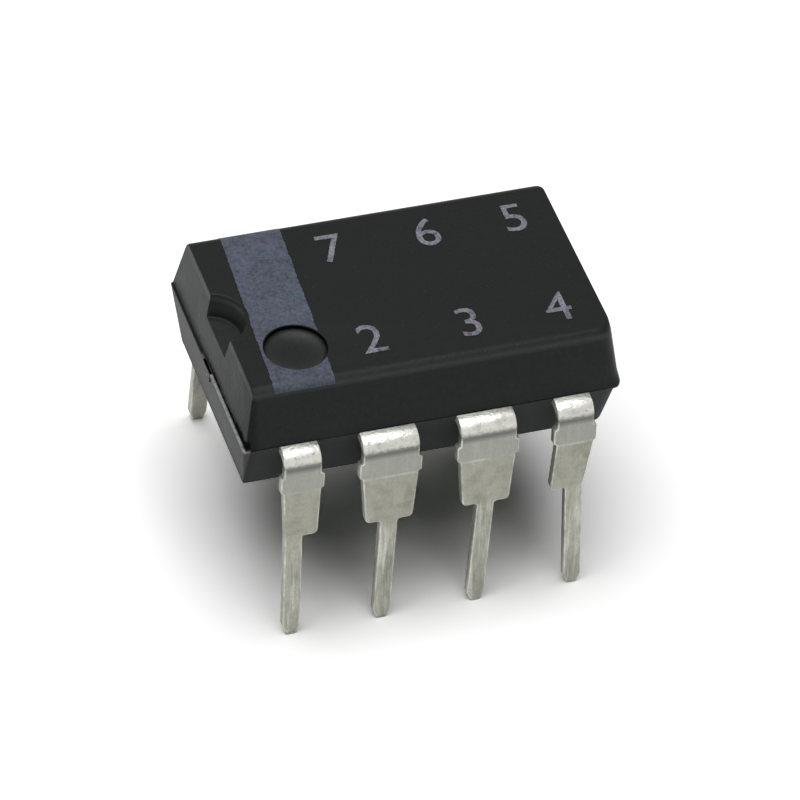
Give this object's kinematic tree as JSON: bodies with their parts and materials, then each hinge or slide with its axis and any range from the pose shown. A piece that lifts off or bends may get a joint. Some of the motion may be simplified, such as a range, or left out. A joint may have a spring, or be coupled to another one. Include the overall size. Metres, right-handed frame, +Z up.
{
  "type": "dip integrated circuit chip",
  "caption": "Dual in-line integrated circuit chip: a black moulded block with an end notch, a pin-one dimple and an ink band, on two rows of bent tin-plated pins.",
  "frame": {"origin": "centre of the chip in plan, on the plane of the pins' tips", "axes": "+X along the block away from the notched end, +Y from the row of pins 1 to 4 to the row of pins 5 to 8, +Z up to the marked face"},
  "size_m": [0.01, 0.0084, 0.0073],
  "materials": {
    "moulding": "black filled epoxy, fine eroded texture",
    "plated_lead": "dull tin plate, lightly scored along the pins",
    "lead_frame_copper": "bare copper alloy strip",
    "die_adhesive": "silver-filled adhesive",
    "silicon": "polished silicon",
    "bond_gold": "bright drawn gold wire",
    "marking_ink": "matt printing ink, speckled"
  },
  "bodies": {
    "root": {"moulded_body": "moulding", "lead_1": "plated_lead", "lead_2": "plated_lead", "lead_3": "plated_lead", "lead_4": "plated_lead", "lead_5": "plated_lead", "lead_6": "plated_lead", "lead_7": "plated_lead", "lead_8": "plated_lead", "die_pad": "lead_frame_copper", "die_adhesive": "die_adhesive", "silicon_die": "silicon", "bond_wire_1": "bond_gold", "bond_wire_2": "bond_gold", "bond_wire_3": "bond_gold", "bond_wire_4": "bond_gold", "bond_wire_5": "bond_gold", "bond_wire_6": "bond_gold", "bond_wire_7": "bond_gold", "ink_band": "marking_ink"}
  },
  "joints": []
}
